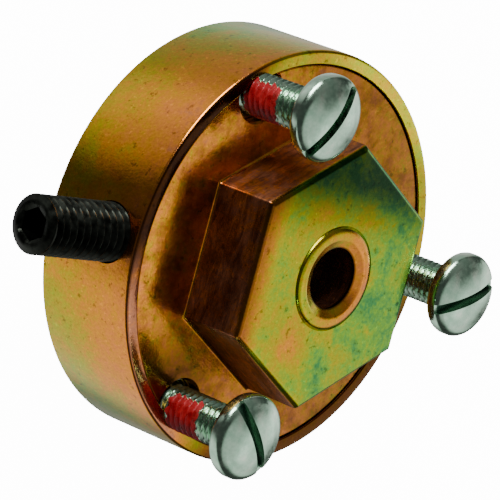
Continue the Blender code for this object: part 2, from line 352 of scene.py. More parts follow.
def tap_tool(name, crest, pitch, low, high, location, tilt=0.0, lip=TAP_LIP):
    """Return a tap: a threaded rod, clear of its screw, that cuts a tapped hole with a lip."""
    inner, groove = crest + TAP_CLEARANCE, TAP_DEPTH * pitch
    flare = inner + lip
    low_end, high_end = low + TAP_LEAD, high - TAP_LEAD
    rings = [(flare, low - OVERCUT), (flare, low), (inner, low_end)]
    count = ceil((high_end - low_end) / pitch * TAP_ROWS)
    for row in range(1, count):
        z = low_end + (high_end - low_end) * row / count
        rings.append(lambda a, z=z: (inner + groove * (1 - thread_depth(z / pitch - a / (2 * pi))), z))
    rings += [(inner, high_end), (flare, high), (flare, high + OVERCUT)]
    mesh = rings_mesh(name, rings, even_angles(TAP_STEPS, TAP_PHASE))
    return link(name, mesh, location, tilt=tilt)


# ------------------------------------------------------------------------------ frame places


body_low, body_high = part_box("hub_body")
flange_low, flange_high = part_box("hex_flange")
AXIS = Vector(((body_low.x + body_high.x) / 2, (body_low.y + body_high.y) / 2, 0.0))
BODY_RADIUS = (body_high.x - body_low.x) / 2
BODY_HEIGHT = body_high.z
FLANGE_RADIUS = (flange_high.y - flange_low.y) / 2 + DISC_SPREAD


def node_middle(node):
    """Return the middle of a CAD node's box."""
    low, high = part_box(node)
    return (low + high) / 2


SCREW_AXES = []
for number in (1, 2, 3):
    middle = node_middle(f"flange_screw_{number}")
    SCREW_AXES.append(Vector((middle.x, middle.y, 0.0)))
SET_SCREW_LEVEL = node_middle("set_screw").z


def dress(obj, node, body, material):
    """Give a piece its material, let it stand for a CAD node and ride on that node's body."""
    obj.data.materials.clear()
    obj.data.materials.append(material)
    smooth(obj)
    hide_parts(node)
    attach(obj, body)
    return obj


# ------------------------------------------------------------------------------ pieces


def build_body(material):
    """Cup with a thin rim, a web, a rear recess with its ring groove, and tapped holes."""
    inner = BODY_RADIUS - RIM_THICKNESS
    web_top = BODY_HEIGHT - COUNTERBORE_DEPTH
    groove_low, groove_high, groove_radius = RING_GROOVE
    corners = [
        (inner, BODY_HEIGHT, 0.15 * MM),
        (inner, web_top, 0.2 * MM),
        (BORE_RADIUS, web_top, 0.4 * MM),
        (BORE_RADIUS, RECESS_DEPTH, 0.4 * MM),
        (RECESS_RADIUS, RECESS_DEPTH, 0.3 * MM),
        (RECESS_RADIUS, groove_high, 0.05 * MM),
        (groove_radius, groove_high, 0.0),
        (groove_radius, groove_low, 0.0),
        (RECESS_RADIUS, groove_low, 0.05 * MM),
        (RECESS_RADIUS, 0.0, 0.3 * MM),
        (BODY_RADIUS, 0.0, 0.5 * MM),
        (BODY_RADIUS, BODY_HEIGHT, 0.45 * MM),
    ]
    mesh = rings_mesh("body_shell", filleted(corners), even_angles(ROUND_STEPS), closed=True)
    body = link("cup_body", mesh, AXIS)
    reach = RECESS_RADIUS - 0.3 * MM
    slot_low = (-SLOT_HALF_WIDTH, -reach, RECESS_DEPTH - 0.3 * MM)
    tools = [box_tool("slot", slot_low, (SLOT_HALF_WIDTH, reach, SLOT_CEILING), AXIS)]
    for index, axis in enumerate(SCREW_AXES):
        tools.append(tap_tool(f"tap_{index}", THREAD_M6, PITCH_M6, 0.0, web_top, axis))
    level = AXIS + Vector((0.0, 0.0, SET_SCREW_LEVEL))
    outer = BODY_RADIUS - 0.1 * MM
    start = BORE_RADIUS - OVERCUT
    tools.append(tap_tool("tap_set", THREAD_M8, PITCH_M8, start, outer, level, pi / 2, 0.05 * MM))
    carve(body, tools)
    return dress(body, "hub_body", "hub", material)


def hex_corner(across_flats, corner_round):
    """Return how far out a hexagon's corner arcs are centred, and half the angle that each spans."""
    centre = (across_flats / 2 - corner_round) / cos(pi / 6)
    span = atan2(corner_round * sin(pi / 6), centre + corner_round * cos(pi / 6))
    return centre, span


def hex_radius(angle, across_flats, corner_round):
    """Polar radius of a hexagon with rounded corners, whose flats face 0, 60, 120... degrees."""
    to_corner = abs(angle % (pi / 3) - pi / 6)
    centre, span = hex_corner(across_flats, corner_round)
    if to_corner < span:
        return centre * cos(to_corner) + sqrt(corner_round**2 - (centre * sin(to_corner)) ** 2)
    return across_flats / 2 / cos(pi / 6 - to_corner)


def hex_angles(across_flats, corner_round, steps):
    """Return angles around a hexagon, with extra ones where its corners are rounded."""
    span = hex_corner(across_flats, corner_round)[1]
    flat = pi / 3 - 2 * span
    angles = []
    for corner in range(6):
        middle = pi / 6 + corner * pi / 3
        angles += [middle + span * share for share in (-1.0, -0.66, -0.33, 0.0, 0.33, 0.66, 1.0)]
        angles += [middle + span + flat * step / steps for step in range(1, steps)]
    return sorted(a % (2 * pi) for a in angles)


def hex_ring(across_flats, z, corner_round=HEX_CORNER_ROUND):
    """Return a hexagonal ring for rings_mesh."""
    return lambda a: (hex_radius(a, across_flats, corner_round), z)


def quarter(steps):
    """Return the sines and cosines of evenly spaced angles over a quarter turn, both ends in."""
    turns = [pi / 2 * step / steps for step in range(steps + 1)]
    return [(sin(turn), cos(turn)) for turn in turns]


def flange_rings():
    """Rings of the flange from its underside up over disc, hexagon and collar and down the bore."""
    edge, fillet = DISC_EDGE_ROUND, HEX_FILLET
    bottom = flange_low.z
    rings = [(BORE_RADIUS, bottom), (FLANGE_RADIUS - edge, bottom), (FLANGE_RADIUS, bottom + edge)]
    rings += [(FLANGE_RADIUS - edge * (1 - c), FLANGE_TOP - edge * (1 - s)) for s, c in quarter(4)]
    rings.append((HEX_ACROSS_FLATS / 2 / cos(pi / 6) + 2 * fillet, FLANGE_TOP))
    for s, c in quarter(4):
        rings.append(hex_ring(HEX_ACROSS_FLATS + 2 * fillet * (1 - s), FLANGE_TOP + fillet * (1 - c)))
    for s, c in quarter(6):
        inset = 2 * HEX_CHAMFER * (1 - c)
        rings.append(hex_ring(HEX_ACROSS_FLATS - inset, HEX_TOP - HEX_CHAMFER * (1 - s)))
    groove, mouth = COLLAR_GROOVE, BORE_RADIUS + BORE_CHAMFER
    top = flange_high.z - COLLAR_EASE
    rings += [
        (COLLAR_RADIUS + 2 * groove, HEX_TOP),
        (COLLAR_RADIUS + groove, HEX_TOP - groove),
        (COLLAR_RADIUS, HEX_TOP),
    ]
    for s, c in quarter(8)[1:]:
        rings.append((COLLAR_RADIUS - COLLAR_SLOPE * (1 - c), HEX_TOP + (top - HEX_TOP) * s))
    rings += [
        (mouth + groove, top),
        (mouth - groove, top - groove),
        (BORE_RADIUS, top - BORE_CHAMFER / 2),
    ]
    return rings


def build_flange(material):
    """Round flange and hexagon boss in one piece, with a raised collar round the bore."""
    angles = hex_angles(HEX_ACROSS_FLATS, HEX_CORNER_ROUND, 28)
    mesh = rings_mesh("flange_shell", flange_rings(), angles, closed=True)
    flange = link("drive_flange", mesh, AXIS)
    level = AXIS + Vector((0.0, 0.0, SET_SCREW_LEVEL))
    relief_radius = THREAD_M8 + SET_SCREW_RELIEF
    relief = [(relief_radius, BORE_RADIUS - OVERCUT), (relief_radius, FLANGE_RADIUS + OVERCUT)]
    tools = [rod_tool("relief", relief, level, tilt=pi / 2)]
    radius, lip = SCREW_HOLE_RADIUS, SCREW_HOLE_LIP
    hole = [
        (radius + lip, flange_low.z - OVERCUT),
        (radius, flange_low.z),
        (radius, FLANGE_TOP - lip),
        (radius + lip, FLANGE_TOP),
        (radius + 2 * lip, FLANGE_TOP + lip),
    ]
    for index, axis in enumerate(SCREW_AXES):
        tools.append(rod_tool(f"hole_{index}", hole, axis))
    carve(flange, tools)
    return dress(flange, "hex_flange", "hub", material)


def head_rings(radius):
    """Rings of a pan head from its crown's middle to its bearing face, with z = 0 there."""
    rings = [(0.0, HEAD_HEIGHT)]
    shoulder = radius - HEAD_FILLET
    for step in range(1, 11):
        share = step / 10
        rings.append((shoulder * share, HEAD_HEIGHT - HEAD_DOME * share**2))
    slope = atan2(2 * HEAD_DOME, shoulder)
    for step in range(1, 9):
        turn = slope + (pi / 2 - slope) * step / 8
        r = shoulder + HEAD_FILLET * (sin(turn) - sin(slope)) / (1 - sin(slope))
        rings.append((r, HEAD_HEIGHT - HEAD_DOME - HEAD_FILLET * (cos(slope) - cos(turn))))
    rings += [
        (radius, 0.7 * MM),
        (radius - 0.12 * MM, 0.3 * MM),
        (radius - 0.35 * MM, 0.08 * MM),
        (radius - 0.6 * MM, 0.0),
    ]
    return rings


def build_flange_screw(index, material):
    """Slotted pan-head screw with its thread."""
    node = f"flange_screw_{index + 1}"
    low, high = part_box(node)
    underside = high.z - HEAD_HEIGHT
    radius = (high.x - low.x) / 2
    tip = low.z - underside
    neck = THREAD_M6 + 0.15 * MM
    rings = head_rings(radius)
    rings += [(neck + 0.3 * MM, 0.0), (neck - 0.1 * MM, -0.25 * MM), (THREAD_M6 - 0.1 * MM, -0.5 * MM)]
    rings += reversed(thread_rings(tip + 0.5 * MM, -0.6 * MM, THREAD_M6, PITCH_M6))
    rings += [(THREAD_M6 - 0.75 * MM, tip), (0.0, tip)]
    origin = SCREW_AXES[index] + Vector((0.0, 0.0, underside))
    screw = link(f"pan_screw_{index + 1}", rings_mesh(node, rings, even_angles(SMALL_STEPS)), origin)
    half = SLOT_WIDTH / 2
    far = radius * 2
    slot = box_tool("slot", (-far, -half, HEAD_HEIGHT - SLOT_DEPTH), (far, half, HEAD_HEIGHT * 2),
                    origin, radians(SLOT_ANGLES[index]))
    carve(screw, [slot])
    return dress(screw, node, node, material)


def build_patch(index, material):
    """Thread-locking patch: a thin skin over part of the thread, thinning out at its edges."""
    node = f"thread_patch_{index + 1}"
    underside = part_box(f"flange_screw_{index + 1}")[1].z - HEAD_HEIGHT
    origin = SCREW_AXES[index] + Vector((0.0, 0.0, underside))
    across, along = PATCH_CELLS
    bm = bmesh.new()
    outer, inner = [], []
    for row in range(along + 1):
        share = row / along
        z = PATCH_BOTTOM + (PATCH_TOP - PATCH_BOTTOM) * share
        outer_row, inner_row = [], []
        for column in range(across + 1):
            side = 2 * column / across - 1
            wobble = noise.noise(Vector((share * 5, index * 7.0, side > 0)))
            angle = radians(PATCH_MIDDLES[index] + PATCH_SPREADS[index] * side * (1 + 0.12 * wobble))
            ragged = noise.noise(Vector((side * 6, index * 3.0, share > 0.5)))
            level = z + PATCH_RAGGEDNESS * ragged * abs(2 * share - 1)
            base = thread_radius(angle, level, THREAD_M6, PITCH_M6)
            rise = PATCH_SKIN * (1 - max(abs(side), abs(2 * share - 1)) ** 8)
            for target, r in ((outer_row, base + rise), (inner_row, base - PATCH_DEPTH)):
                target.append(bm.verts.new((r * cos(angle), r * sin(angle), level)))
        outer.append(outer_row)
        inner.append(inner_row)
    close_shell(bm, outer, inner)
    patch = link(f"red_patch_{index + 1}", new_mesh(node, bm), origin)
    return dress(patch, node, f"flange_screw_{index + 1}", material)


def close_shell(bm, outer, inner):
    """Skin two grids of vertices and the rim between them."""
    rows, columns = len(outer) - 1, len(outer[0]) - 1
    for grid in (outer, inner):
        for i in range(rows):
            for j in range(columns):
                bm.faces.new((grid[i][j], grid[i][j + 1], grid[i + 1][j + 1], grid[i + 1][j]))
    rim = [(0, j) for j in range(columns)] + [(i, columns) for i in range(rows)]
    rim += [(rows, j) for j in range(columns, 0, -1)] + [(i, 0) for i in range(rows, 0, -1)]
    for (i, j), (k, m) in zip(rim, rim[1:] + rim[:1]):
        bm.faces.new((outer[i][j], outer[k][m], inner[k][m], inner[i][j]))
    bmesh.ops.recalc_face_normals(bm, faces=bm.faces)


def build_set_screw(material):
    """Threaded set screw with a hexagon socket outside and a cup point inside."""
    low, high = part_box("set_screw")
    length = high.x - low.x
    across, corner = SOCKET_ACROSS_FLATS, SOCKET_CORNER_ROUND
    floor_level = length - SOCKET_DEPTH
    rings = [
        (0.0, floor_level - SOCKET_DRILL_POINT),
        hex_ring(across, floor_level, corner),
        hex_ring(across, length - 0.3 * MM, corner),
        (across / 2 / cos(pi / 6) + 0.25 * MM, length),
        (THREAD_M8 - 0.95 * MM, length),
        (THREAD_M8 - 0.75 * MM, length - 0.1 * MM),
    ]
    rings += reversed(thread_rings(1.0 * MM, length - 0.45 * MM, THREAD_M8, PITCH_M8))
    rings += [(THREAD_M8 - 1.0 * MM, 0.15 * MM), (2.5 * MM, 0.0), (2.1 * MM, 0.1 * MM), (0.0, 1.3 * MM)]
    origin = Vector((low.x, AXIS.y, SET_SCREW_LEVEL))
    mesh = rings_mesh("set_screw_shell", rings, hex_angles(across, corner, 12))
    screw = link("socket_set_screw", mesh, origin, tilt=pi / 2)
    return dress(screw, "set_screw", "set_screw", material)


def tube_corners(outer, inner, low, high):
    """Return the sharp corners of a plain turned ring for filleted."""
    return [(outer, high, 0.0), (outer, low, 0.0), (inner, low, 0.0), (inner, high, 0.0)]


def build_slider(material):
    """Floating disc with crossed tongues, two above and two below."""
    low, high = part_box("slider")
    bottom, top = low.z + TONGUE_HEIGHT, high.z - TONGUE_HEIGHT
    corners = tube_corners((high.x - low.x) / 2, SLIDER_BORE_RADIUS, bottom, top)
    mesh = rings_mesh("slider_shell", filleted(corners), even_angles(ROUND_STEPS), closed=True)
    slider = link("oldham_slider", mesh, AXIS)
    half = TONGUE_WIDTH / 2
    upper = (UPPER_TONGUE_START, -half, top - TONGUE_ROOT), (TONGUE_END, half, high.z)
    lower = (LOWER_TONGUE_START, -half, low.z), (TONGUE_END, half, bottom + TONGUE_ROOT)
    tools = [box_tool(f"upper_{turn}", *upper, AXIS, radians(turn)) for turn in (90, -90)]
    tools += [box_tool(f"lower_{turn}", *lower, AXIS, radians(turn)) for turn in (0, 180)]
    carve(slider, tools, "UNION")
    soften_edges(slider, SLIDER_EDGE)
    return dress(slider, "slider", "slider", material)


def build_output_hub(material):
    """Driven disc with open slots, a boss, a bore and a keyway."""
    low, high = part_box("output_hub")
    radius = (high.y - low.y) / 2
    plate = low.z + OUTPUT_BOSS_HEIGHT
    corners = [
        (radius, high.z, 0.0),
        (radius, plate, 0.0),
        (OUTPUT_BOSS_RADIUS, plate, 0.25 * MM),
        (OUTPUT_BOSS_RADIUS, low.z, 0.35 * MM),
        (BORE_RADIUS, low.z, 0.35 * MM),
        (BORE_RADIUS, high.z, 0.35 * MM),
    ]
    mesh = rings_mesh("output_shell", filleted(corners), even_angles(ROUND_STEPS), closed=True)
    hub = link("output_disc", mesh, AXIS)
    half = SLOT_HALF_WIDTH
    slot = (OUTPUT_SLOT_START, -half, low.z), (radius + OVERCUT, half, high.z + OVERCUT)
    tools = [box_tool(f"slot_{turn}", *slot, AXIS, radians(turn)) for turn in (0, 180)]
    half = KEYWAY_WIDTH / 2
    keyway_low = BORE_RADIUS - OVERCUT, -half, low.z - OVERCUT
    keyway_high = BORE_RADIUS + KEYWAY_DEPTH, half, high.z + OVERCUT
    tools.append(box_tool("keyway", keyway_low, keyway_high, AXIS, radians(90)))
    carve(hub, tools)
    soften_edges(hub, OUTPUT_EDGE)
    return dress(hub, "output_hub", "output", material)


def build_retaining_ring(material):
    """Stamped internal snap ring with two pierced lugs."""
    low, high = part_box("retaining_ring")
    corners = tube_corners(SNAP_OUTER, SNAP_INNER, low.z, high.z)
    mesh = rings_mesh("ring_shell", filleted(corners), even_angles(ROUND_STEPS), closed=True)
    ring = link("snap_ring", mesh, AXIS)
    far, half = 30.0 * MM, SNAP_GAP / 2
    carve(ring, [box_tool("gap", (-far, -half, -OVERCUT), (0.0, half, far), AXIS)])
    places = [AXIS + Vector((LUG_PLACE[0], side * LUG_PLACE[1], 0.0)) for side in (1, -1)]
    lug = [(LUG_RADIUS, low.z), (LUG_RADIUS, high.z)]
    carve(ring, [rod_tool(f"lug_{i}", lug, place, LUG_STEPS) for i, place in enumerate(places)], "UNION")
    hole = [(LUG_HOLE_RADIUS, low.z - OVERCUT), (LUG_HOLE_RADIUS, high.z + OVERCUT)]
    carve(ring, [rod_tool(f"hole_{i}", hole, place, PIERCE_STEPS) for i, place in enumerate(places)])
    soften_edges(ring, SNAP_EDGE)
    return dress(ring, "retaining_ring", "hub", material)


# ------------------------------------------------------------------------------ materials


class Graph:
    """A short way to write a shader's node tree."""

    def __init__(self, tree):
        self.tree = tree

    def add(self, kind, inputs=None, **settings):
        """Add a node, set its settings, and link or set its inputs by name or number."""
        node = self.tree.nodes.new(kind)
        for key, value in settings.items():
            setattr(node, key, value)
        for key, value in (inputs or {}).items():
            if isinstance(value, bpy.types.NodeSocket):
                self.tree.links.new(value, node.inputs[key])
            else:
                node.inputs[key].default_value = value
        return node

    def math(self, operation, first, second=0.0, clamp=False):
        """One arithmetic step."""
        node = self.add("ShaderNodeMath", {0: first, 1: second}, operation=operation, use_clamp=clamp)
        return node.outputs[0]

    def multiply(self, first, second):
        """Product of two values."""
        return self.math("MULTIPLY", first, second)

    def blend(self, share, first, second):
        """First where share is 0 and second where it is 1."""
        return self.add("ShaderNodeMix", {0: share, 2: first, 3: second}).outputs[0]

    def ease(self, value, low, high, start=0.0, end=1.0):
        """Ease from start to end as value goes from low to high."""
        inputs = {"Value": value, "From Min": low, "From Max": high, "To Min": start, "To Max": end}
        return self.add("ShaderNodeMapRange", inputs, interpolation_type="SMOOTHSTEP").outputs[0]

    def noise(self, place, scale, detail=3.0, roughness=0.55, distortion=0.0):
        """Noise between about 0 and 1, from a place in metres and a scale in cells per metre."""
        inputs = {"Vector": place, "Scale": scale, "Detail": detail, "Roughness": roughness,
                  "Distortion": distortion}
        return self.add("ShaderNodeTexNoise", inputs).outputs["Fac"]

    def mix(self, share, first, second, blend="MIX"):
        """Mix two colours."""
        node = self.add("ShaderNodeMix", {0: share}, data_type="RGBA", blend_type=blend)
        for key, value in ((6, first), (7, second)):
            if isinstance(value, bpy.types.NodeSocket):
                self.tree.links.new(value, node.inputs[key])
            else:
                node.inputs[key].default_value = (*value, 1.0)
        return node.outputs[2]

    def ramp(self, value, stops):
        """Colour from a value by (position, colour) stops."""
        node = self.add("ShaderNodeValToRGB", {0: value})
        elements = node.color_ramp.elements
        while len(elements) < len(stops):
            elements.new(0.5)
        for element, (position, colour) in zip(elements, stops):
            element.position = position
            element.color = (*colour, 1.0)
        return node.outputs[0]

    def blob(self, x, y, centre, reach):
        """1 at a centre, given in millimetres on the front, easing to 0 at a distance from it."""
        dx = self.math("SUBTRACT", x, centre[0] * MM)
        dy = self.math("SUBTRACT", y, centre[1] * MM)
        square = self.math("ADD", self.multiply(dx, dx), self.multiply(dy, dy))
        return self.ease(self.math("SQRT", square), reach * MM, 0.0)


def new_material(name, metallic=1.0):
    """Return a material, its graph and its Principled shader."""
    material = bpy.data.materials.new(name)
    material.use_nodes = True
    shader = material.node_tree.nodes["Principled BSDF"]
    shader.inputs["Metallic"].default_value = metallic
    return material, Graph(material.node_tree), shader


def set_bump(graph, shader, height, distance, strength=1.0):
    """Drive a shader's normal by a height field."""
    bump = graph.add("ShaderNodeBump", {"Height": height, "Distance": distance, "Strength": strength})
    graph.tree.links.new(bump.outputs[0], shader.inputs["Normal"])


# Interference colours of the plating, from its thin to its thick film.
FILM = (
    (0.0, (0.06, 0.27, 0.075)),
    (0.17, (0.20, 0.45, 0.04)),
    (0.34, (0.42, 0.42, 0.012)),
    (0.5, (0.56, 0.36, 0.012)),
    (0.64, (0.74, 0.30, 0.02)),
    (0.82, (0.80, 0.26, 0.05)),
    (1.0, (0.52, 0.20, 0.10)),
)


def finish_gold(graph, shader, place, film, shade, roughness):
    """Wire film thickness, a shade factor carrying painted shade and mottling, pits and fine grain into
    a plated metal.
    """
    fine = graph.noise(place, 2600.0, 2.0)
    pits = graph.noise(place, 900.0, 3.0, 0.7)
    specks = graph.ease(graph.noise(place, 1500.0, 2.0, 0.6), 0.62, 0.72, 1.0, 1.35)
    pitted = graph.ease(pits, 0.30, 0.40, 0.5, 1.0)
    for part in (pitted, specks, graph.ease(fine, 0.2, 0.8, 0.86, 1.1)):
        shade = graph.multiply(shade, part)
    grey = graph.add("ShaderNodeCombineColor", {0: shade, 1: shade, 2: shade}).outputs[0]
    freckles = graph.math("SUBTRACT", graph.noise(place, 1900.0, 2.0, 0.6), 0.5)
    film = graph.math("ADD", film, graph.multiply(freckles, 0.30))
    colour = graph.mix(1.0, graph.ramp(film, FILM), grey, "MULTIPLY")
    graph.tree.links.new(colour, shader.inputs["Base Color"])
    patch = graph.noise(place, 240.0, 4.0, 0.6)
    rough = graph.multiply(graph.ease(patch, 0.25, 0.75, 0.75, 1.3), roughness)
    graph.tree.links.new(rough, shader.inputs["Roughness"])
    height = graph.math("ADD", graph.multiply(fine, 0.5), pits)
    set_bump(graph, shader, height, 0.02 * MM)


def object_fields(graph):
    """Return the object coordinates, their three parts and the distance from the axis."""
    place = graph.add("ShaderNodeTexCoord").outputs["Object"]
    x, y, z = graph.add("ShaderNodeSeparateXYZ", {0: place}).outputs
    flat = graph.add("ShaderNodeCombineXYZ", {0: x, 1: y}).outputs[0]
    radius = graph.add("ShaderNodeVectorMath", {0: flat}, operation="LENGTH").outputs["Value"]
    return place, x, y, z, radius


def towards(graph, x, y, azimuth):
    """Share of a point's offset, out of the cup's radius, that lies towards an azimuth in degrees."""
    along_x = graph.multiply(x, cos(radians(azimuth)) / BODY_RADIUS)
    return graph.math("ADD", along_x, graph.multiply(y, sin(radians(azimuth)) / BODY_RADIUS))


def clouded(graph, film, place, *clouds):
    """Add broad mottling to a film. A cloud is its scale, swing and distortion."""
    for scale, swing, distortion in clouds:
        cloud = graph.math("SUBTRACT", graph.noise(place, scale, 3.0, 0.55, distortion), 0.5)
        film = graph.math("ADD", film, graph.multiply(cloud, swing))
    return film


def body_film(graph, place, x, y, z, rim, painted_shade_zone, brown):
    """Film on the cup: copper on its broad side, olive round it, mauve and brown on its rim."""
    facing = graph.ease(towards(graph, x, y, -8.0), 0.25, 0.75, 0.30, 0.64)
    wall = graph.math("ADD", facing, graph.ease(z, 0.0, BODY_HEIGHT, -0.17, 0.15))
    mauve = graph.ease(towards(graph, x, y, 32.0), 0.70, 0.90, 0.42, 1.0)
    rim_film = graph.math("MAXIMUM", mauve, graph.multiply(brown, 0.78))
    # Where shade is painted on the rim its film turns mauve too.
    rim_film = graph.math("MAXIMUM", rim_film, graph.multiply(painted_shade_zone, 0.92))
    film = graph.blend(rim, wall, rim_film)
    return clouded(graph, film, place, (110.0, 0.5, 0.6), (260.0, 0.36, 0.9), (600.0, 0.34, 0.2))


def body_plating():
    """Yellow plating on the cup, its rim darkened by painted shade and browned in places and lit by a
    painted highlight in one, with painted shade down the bore.
    """
    material, graph, shader = new_material("gold_plating_body")
    place, x, y, z, radius = object_fields(graph)
    rim = graph.ease(z, BODY_HEIGHT - 0.30 * MM, BODY_HEIGHT - 0.04 * MM)
    # Painted shade on the rim towards one side, standing in for a dark reflection.
    painted_shade_zone = graph.ease(towards(graph, x, y, -28.0), 0.68, 0.88)
    # A browner film on the rim towards the far side, which is darkened there by painted shade as well.
    brown = graph.ease(towards(graph, x, y, 125.0), 0.45, 0.75)
    # Painted highlight: the rim brightened towards one side.
    painted_highlight = graph.ease(towards(graph, x, y, -118.0), 0.80, 0.95, 1.0, 1.8)
    film = body_film(graph, place, x, y, z, rim, painted_shade_zone, brown)
    rim_shade = graph.multiply(graph.math("SUBTRACT", 1.0, graph.multiply(painted_shade_zone, 0.93)), painted_highlight)
    brown_painted_shade = graph.math("SUBTRACT", 1.0, graph.multiply(brown, 0.86))
    shade = graph.blend(rim, 1.0, graph.multiply(rim_shade, brown_painted_shade))
    # Painted shade down the bore.
    bore = graph.ease(radius, BORE_RADIUS, BORE_RADIUS + 0.3 * MM, 0.15, 1.0)
    finish_gold(graph, shader, place, film, graph.multiply(shade, bore), 0.18)
    return material


# Stains on the hexagon's front: centre and reach in millimetres, and change in film thickness.
HEX_STAINS = (
    ((5.5, 9.5), 5.0, 0.30),
    ((-1.5, 12.5), 4.5, -0.18),
    ((5.0, -9.5), 3.0, 0.12),
    ((-4.0, -9.0), 5.0, 0.16),
    ((-10.0, 1.5), 4.5, -0.14),
    ((-7.5, 0.0), 2.5, 0.10),
)


def flange_film(graph, place, x, y, face, side, collar):
    """Film on the flange: copper on disc and flats, yellow to green on the hexagon's front."""
    copper_edge = graph.ease(x, 11.0 * MM, 15.5 * MM, 0.0, 0.42)
    front = graph.math("ADD", copper_edge, graph.ease(x, -13.0 * MM, 6.0 * MM, 0.15, 0.34))
    front = graph.math("SUBTRACT", front, graph.ease(y, -8.0 * MM, -14.0 * MM, 0.0, 0.22))
    for centre, reach, change in HEX_STAINS:
        front = graph.math("ADD", front, graph.multiply(graph.blob(x, y, centre, reach), change))
    ring = graph.ease(x, 4.0 * MM, -6.0 * MM, 0.40, 0.76)
    film = graph.blend(face, graph.ease(side, 0.0, 1.0, 0.72, 0.95), graph.blend(collar, front, ring))
    film = clouded(graph, film, place, (130.0, 0.68, 1.2), (420.0, 0.46, 1.5))
    grain = clouded(graph, 0.0, place, (900.0, 1.0, 0.3))
    return graph.math("ADD", film, graph.multiply(grain, graph.ease(face, 0.0, 1.0, 0.55, 0.15)))


def front_shade(graph, x, y, z, radius, collar):
    """Darkening of the hexagon's front: darker towards one corner and one edge, not darkened along one
    chamfered edge, with painted shade down the bore.
    """
    front_darkening = graph.ease(y, -13.5 * MM, -3.0 * MM, 0.13, 1.0)
    # The darkening is lifted along the chamfered top edge on one side.
    undarkened_edge = graph.ease(z, HEX_TOP - 0.01 * MM, HEX_TOP - 0.1 * MM)
    undarkened_edge = graph.multiply(undarkened_edge, graph.ease(x, 1.0 * MM, -1.0 * MM))
    front_darkening = graph.math("MAXIMUM", graph.math("MAXIMUM", front_darkening, collar), undarkened_edge)
    # Painted shade down the bore.
    bore = graph.ease(radius, BORE_RADIUS, BORE_RADIUS + 0.35 * MM, 0.12, 1.0)
    return graph.multiply(graph.multiply(front_darkening, bore), graph.ease(x, 12.0 * MM, 15.5 * MM, 1.0, 0.45))


def flange_plating():
    """Yellow plating on the flange, with streaked flats and a mottled disc, both darkened by painted
    shade.
    """
    material, graph, shader = new_material("gold_plating_flange")
    place, x, y, z, radius = object_fields(graph)
    collar = graph.ease(radius, COLLAR_RADIUS + 0.1 * MM, COLLAR_RADIUS - 0.4 * MM)
    face = graph.ease(z, HEX_TOP - 0.9 * MM, HEX_TOP - 0.3 * MM)
    side = graph.ease(z, FLANGE_TOP + 0.1 * MM, FLANGE_TOP + 0.5 * MM)
    film = flange_film(graph, place, x, y, face, side, collar)
    scaled = graph.add("ShaderNodeVectorMath", {0: place, 1: (0.3, 0.3, 1.3)}, operation="MULTIPLY")
    # Streaks along the flats, which also darken them overall as painted shade.
    lay = graph.noise(scaled.outputs[0], 700.0, 4.0, 0.65, 1.2)
    streaks_and_shade = graph.ease(lay, 0.25, 0.75, 0.25, 0.80)
    mottle = graph.ease(graph.noise(place, 320.0, 4.0, 0.65), 0.3, 0.6, 0.55, 1.05)
    # Painted shade on the disc, darker towards one side, times random mottling.
    disc = graph.multiply(graph.ease(x, -6.0 * MM, 20.0 * MM, 0.50, 1.0), mottle)
    # Painted shade on the disc near one corner of the hexagon.
    shaded = graph.multiply(graph.blob(x, y, (15.0, 17.5), 15.0), 0.8)
    disc = graph.multiply(disc, graph.math("SUBTRACT", 1.0, shaded))
    front = front_shade(graph, x, y, z, radius, collar)
    shade = graph.blend(face, graph.blend(side, disc, streaks_and_shade), front)
    flats = graph.multiply(side, graph.math("SUBTRACT", 1.0, face))
    finish_gold(graph, shader, place, film, shade, graph.ease(flats, 0.0, 1.0, 0.20, 0.38))
    return material


def zinc_plating():
    """Bright zinc with a faint green cast and fine wear, with painted shade down in the slot."""
    material, graph, shader = new_material("bright_zinc")
    place, _, _, z, radius = object_fields(graph)
    tints = ((0.3, (0.34, 0.56, 0.40)), (0.55, (0.50, 0.72, 0.54)), (0.8, (0.72, 0.82, 0.66)))
    colour = graph.ramp(graph.noise(place, 500.0, 3.0), tints)
    # Painted shade down in the slot, standing in for its shadow.
    slot_painted_shade = graph.ease(z, HEAD_HEIGHT - 1.1 * MM, HEAD_HEIGHT - 1.7 * MM)
    slot_painted_shade = graph.multiply(slot_painted_shade, graph.ease(radius, 5.5 * MM, 5.2 * MM))
    slot_painted_shade = graph.multiply(slot_painted_shade, graph.ease(z, 0.1 * MM, 0.3 * MM, 0.0, 0.9))
    colour = graph.mix(slot_painted_shade, colour, (0.03, 0.09, 0.06))
    graph.tree.links.new(colour, shader.inputs["Base Color"])
    rough = graph.ease(graph.noise(place, 1500.0, 2.0), 0.3, 0.7, 0.14, 0.26)
    graph.tree.links.new(rough, shader.inputs["Roughness"])
    set_bump(graph, shader, graph.noise(place, 3000.0, 3.0), 0.006 * MM)
    return material


def black_oxide():
    """Oiled black oxide, mottled grey in places."""
    material, graph, shader = new_material("black_oxide_steel")
    place = graph.add("ShaderNodeTexCoord").outputs["Object"]
    cloud = graph.noise(place, 700.0, 4.0)
    colour = graph.ramp(cloud, ((0.3, (0.010, 0.011, 0.009)), (0.7, (0.035, 0.040, 0.032))))
    graph.tree.links.new(colour, shader.inputs["Base Color"])
    rough = graph.ease(cloud, 0.3, 0.7, 0.30, 0.48)
    graph.tree.links.new(rough, shader.inputs["Roughness"])
    set_bump(graph, shader, graph.noise(place, 2500.0, 3.0), 0.01 * MM)
    return material


